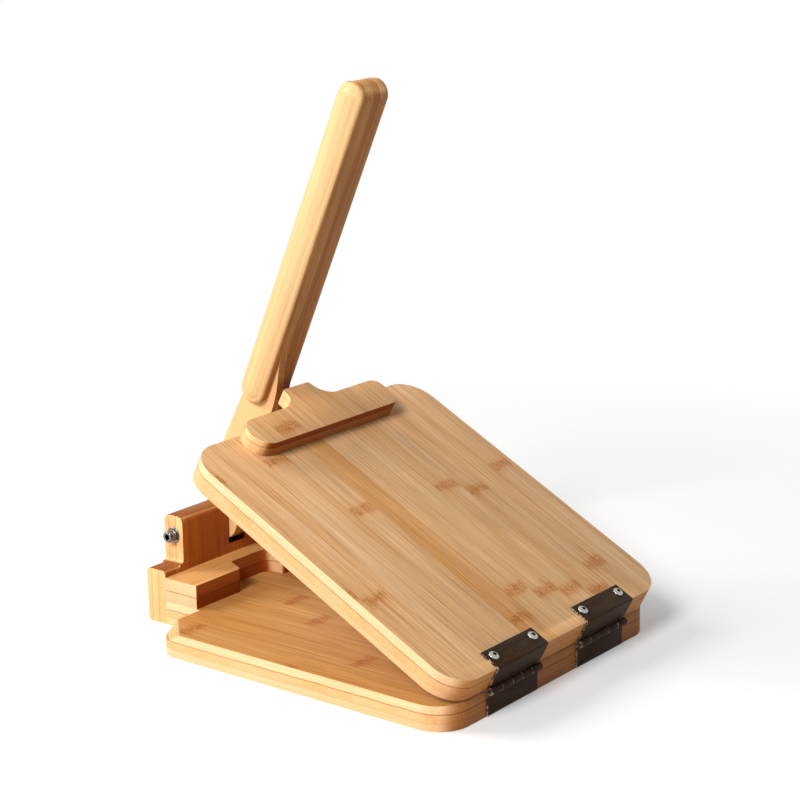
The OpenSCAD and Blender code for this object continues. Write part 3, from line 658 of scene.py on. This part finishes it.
def turned(name, rings, steps=48, pit=None, hollow=False):
    """A solid of rings stacked along +Z, in millimetres: (radius, height, sides). It is round where
    sides is 0, has so many flats where it is more, and so many ribs where it is less.
    From ring number pit on, its faces carry the attribute "pit". A hollow one closes on itself."""
    rib_mm, crisp = 0.05, math.radians(38)
    shape = bmesh.new()
    dark = shape.faces.layers.float.new("pit")
    loops = []
    for radius, height, sides in rings:
        loop = []
        for i in range(steps):
            angle = 2 * math.pi * i / steps
            reach = radius
            if sides > 0:
                step = 2 * math.pi / sides
                reach = radius / math.cos(angle % step - step / 2)
            if sides < 0:
                reach = radius + rib_mm * math.cos(sides * angle)
            loop.append(shape.verts.new((reach * math.cos(angle), reach * math.sin(angle), height)))
        loops.append(loop)
    pairs = list(zip(loops, loops[1:])) + ([(loops[-1], loops[0])] if hollow else [])
    for number, (low, high) in enumerate(pairs):
        for i in range(steps):
            j = (i + 1) % steps
            face = shape.faces.new((low[i], low[j], high[j], high[i]))
            face[dark] = float(pit is not None and number >= pit)
    if not hollow:
        shape.faces.new(loops[0][::-1])
        shape.faces.new(loops[-1])[dark] = float(pit is not None)
    bmesh.ops.recalc_face_normals(shape, faces=shape.faces)
    for face in shape.faces:
        face.smooth = True
    for edge in shape.edges:
        if len(edge.link_faces) == 2 and edge.calc_face_angle() > crisp:
            edge.smooth = False
    mesh = bpy.data.meshes.new(name)
    shape.to_mesh(mesh)
    shape.free()
    piece = bpy.data.objects.new(name, mesh)
    scene.collection.objects.link(piece)
    return piece


# One set of nodes makes every row: a line of points, a line of such lines, the piece on each.
rows = bpy.data.node_groups.new("rows_of_a_piece", "GeometryNodeTree")
sockets = {"Geometry": rows.interface.new_socket("Geometry", in_out="INPUT",
                                                 socket_type="NodeSocketGeometry")}
for label, kind in (("Piece", "Object"), ("Finish", "Material"), ("First Place", "Vector"),
                    ("Count Across", "Int"), ("Step Across", "Vector"),
                    ("Count Along", "Int"), ("Step Along", "Vector")):
    sockets[label] = rows.interface.new_socket(label, in_out="INPUT", socket_type="NodeSocket" + kind)
rows.interface.new_socket("Geometry", in_out="OUTPUT", socket_type="NodeSocketGeometry")
given = put(rows, "NodeGroupInput").outputs
across = put(rows, "GeometryNodeMeshLine", {"Count": given["Count Across"],
                                            "Offset": given["Step Across"],
                                            "Start Location": given["First Place"]})
along = put(rows, "GeometryNodeMeshLine", {"Count": given["Count Along"], "Offset": given["Step Along"]})
net = put(rows, "GeometryNodeInstanceOnPoints", {"Points": across, "Instance": along})
net = put(rows, "GeometryNodeRealizeInstances", {"Geometry": net})
single = put(rows, "GeometryNodeObjectInfo", {"Object": given["Piece"]}).outputs["Geometry"]
every = put(rows, "GeometryNodeInstanceOnPoints", {"Points": net, "Instance": single})
every = put(rows, "GeometryNodeRealizeInstances", {"Geometry": every})
every = put(rows, "GeometryNodeSetMaterial", {"Geometry": every, "Material": given["Finish"]})
put(rows, "NodeGroupOutput", {"Geometry": every})


def repeated(piece, material, node, body, place, first=(0, 0, 0), across=(1, (0, 0, 0)),
             along=(1, (0, 0, 0))):
    """A piece drawn in millimetres, repeated in rows, put in its place and seated for its node.
    across and along are each a count and a step."""
    holder = bpy.data.objects.new(node + "_set", bpy.data.meshes.new(node + "_set"))
    scene.collection.objects.link(holder)
    row = holder.modifiers.new("rows", "NODES")
    row.node_group = rows
    values = {"Piece": piece, "Finish": material, "First Place": first, "Count Across": across[0],
              "Step Across": across[1], "Count Along": along[0], "Step Along": along[1]}
    for label, value in values.items():
        row[sockets[label].identifier] = value
    finished = bpy.data.meshes.new_from_object(
        holder.evaluated_get(bpy.context.evaluated_depsgraph_get()))
    holder.modifiers.clear()
    finished.transform(Matrix.Scale(MM, 4) @ place)
    holder.data = finished
    finished.name = holder.name
    bpy.data.objects.remove(piece)
    seat(holder, body, node, material)


def flat_head(name, head, shank, length):
    """A countersunk screw, head up and flush with the origin, with a hexagon socket."""
    grip = head * 0.42
    return turned(name, [
        (0.2, -length, 0), (shank * 0.55, 2 - length, 0), (shank, 4 - length, 0),
        (shank, shank - head, 0), (head, -0.15, 0), (head * 0.98, 0.0, 0), (grip * 1.25, 0.0, 0),
        (grip, -0.15, 6), (grip * 0.97, -head * 0.45, 6), (grip * 0.3, -head * 0.55, 0)], pit=7)


first_screw_mm, screw_y_mm, leaf_top_mm, leaf_under_mm = (-75.1, 0, 0), -120.2, 37.8, 0.2
both_hinges, both_screws = (2, (105.6, 0, 0)), (2, (44.6, 0, 0))
flip = Matrix.Rotation(math.pi, 4, "X")
ball_radius, ball_sunk = 5.85, 3.6
dome = [(radius, math.sqrt(ball_radius ** 2 - radius ** 2) - ball_sunk, 0)
        for radius in (3.7, 3.2, 2.6, 2.0, 1.6)]
pan_head = turned("pan_head", [
    (0.2, -13.0, 0), (1.0, -11.4, 0), (1.75, -10.0, 0), (1.75, 0.0, 0), (3.6, 0.0, 0), (3.8, 0.15, 0),
    (3.8, 0.70, 0)] + dome + [(1.35, 2.0, 6), (1.25, 1.8, 6), (1.2, 0.9, 6), (0.5, 0.7, 0)], pit=12)
repeated(pan_head, bright, "upper_leaf_screws", "lid",
         shut.inverted() @ Matrix.Translation((0, screw_y_mm, leaf_top_mm)),
         first=first_screw_mm, across=both_hinges, along=both_screws)
repeated(flat_head("flat_head", 3.8, 1.75, 13.0), bright, "lower_leaf_screws", "base",
         Matrix.Translation((0, screw_y_mm, leaf_under_mm)) @ flip,
         first=first_screw_mm, across=both_hinges, along=both_screws)

# Yoke and stop block screws
# Long countersunk wood screws of zinc-plated steel: four from behind through the yoke, and two
# from below into the stop block.

yoke_back = Matrix.Translation((0, 179.8, 9.0)) @ Matrix.Rotation(math.radians(-90), 4, "X")
repeated(flat_head("yoke_screw", 4.5, 2.2, 42.0), bright, "yoke_screws", "base",
         yoke_back, first=(-50.5, 0, 0), across=(2, (101.0, 0, 0)), along=(2, (0, -18.0, 0)))
tail_under = Matrix.Translation((0, 152.0, 0.2)) @ flip
repeated(flat_head("stop_screw", 4.5, 2.2, 30.0), bright, "stop_block_screws", "base",
         tail_under, first=(-34.5, 0, 0), across=(2, (69.0, 0, 0)))

# Pivot bolt
# A socket cap screw with a knurled head on a spring washer and a flat washer, and at its far end
# a flat washer and a self-locking nut. Two spacers keep the lever in the middle of its slot.

# Polished bolt steel: a dark mirror, so it shows more shade than light.
bolt_steel = steel("dark_polished_bolt_steel", "7c7670", 0.24)
bolt = Matrix.Translation(pivot_mm) @ Matrix.Rotation(math.radians(-90), 4, "Y")
crest, root, half_pitch, tip = 2.5, 2.2, 0.4, -130.0
thread = [(crest if i % 2 else root, tip + 0.6 + half_pitch * i, 0) for i in range(28)]
cap_screw = turned("cap_screw", [(2.0, tip, 0)] + thread + [
    (2.5, -118.0, 0), (2.5, 0.0, 0), (3.9, 0.0, 0), (4.15, 0.25, 0), (4.15, 0.5, 0), (4.2, 0.6, -36),
    (4.2, 3.9, -36), (4.15, 4.0, 0), (4.1, 4.5, 0), (3.85, 4.85, 0), (3.6, 5.0, 0), (2.5, 5.0, 0),
    (2.1, 4.85, 6), (2.0, 4.6, 6), (2.0, 2.6, 6), (0.8, 2.2, 0)], steps=144, pit=42)
repeated(cap_screw, bolt_steel, "pivot_bolt", "base", bolt, first=(0, 0, 60.8))
washer = turned("washer", [(5.85, 0.0, 0), (6.0, 0.15, 0), (6.0, 0.85, 0), (5.85, 1.0, 0),
                           (2.7, 1.0, 0), (2.56, 0.85, 0), (2.56, 0.15, 0), (2.7, 0.0, 0)], hollow=True)
repeated(washer, bolt_steel, "flat_washers", "base", bolt, first=(0, 0, 58.5),
         across=(2, (0, 0, -118.0)))
spacer = turned("spacer", [(6.85, 0.0, 0), (7.0, 0.15, 0), (7.0, 1.2, 0), (6.85, 1.38, 0),
                           (2.7, 1.38, 0), (2.56, 1.2, 0), (2.56, 0.15, 0), (2.7, 0.0, 0)], hollow=True)
repeated(spacer, bright, "spacer_washers", "base", bolt, first=(0, 0, 7.56),
         across=(2, (0, 0, -16.5)))
nut = turned("nut", [
    (3.8, 0.0, 0), (4.0, 0.3, 6), (4.0, 3.5, 6), (3.75, 3.75, 0), (3.75, 4.6, 0), (3.45, 5.0, 0),
    (2.9, 5.0, 0), (2.6, 4.7, 0), (2.56, 0.0, 0)], hollow=True)
repeated(nut, bright, "pivot_nut", "base",
         bolt @ Matrix.Translation((0, 0, -59.5)) @ flip)

split_degrees, sweep_degrees, spring_mm, steps = 25, 340, 0.3, 40
section = ((2.6, 0.1), (2.7, 0.0), (4.1, 0.0), (4.22, 0.1), (4.22, 0.88), (4.1, 0.98), (2.7, 0.98),
           (2.6, 0.88))
coil = bmesh.new()
loops = []
for i in range(steps + 1):
    angle = math.radians(split_degrees + sweep_degrees * i / steps)
    rise = spring_mm * i / steps
    loops.append([coil.verts.new((radius * math.cos(angle), radius * math.sin(angle), height + rise))
                  for radius, height in section])
for low, high in zip(loops, loops[1:]):
    for i in range(len(section)):
        j = (i + 1) % len(section)
        coil.faces.new((low[i], low[j], high[j], high[i]))
coil.faces.new(loops[0])
coil.faces.new(loops[-1])
bmesh.ops.recalc_face_normals(coil, faces=coil.faces)
ring = bpy.data.objects.new("spring_ring", bpy.data.meshes.new("spring_ring"))
coil.to_mesh(ring.data)
coil.free()
scene.collection.objects.link(ring)
repeated(ring, dark_steel, "lock_washer", "base", bolt, first=(0, 0, 59.51))
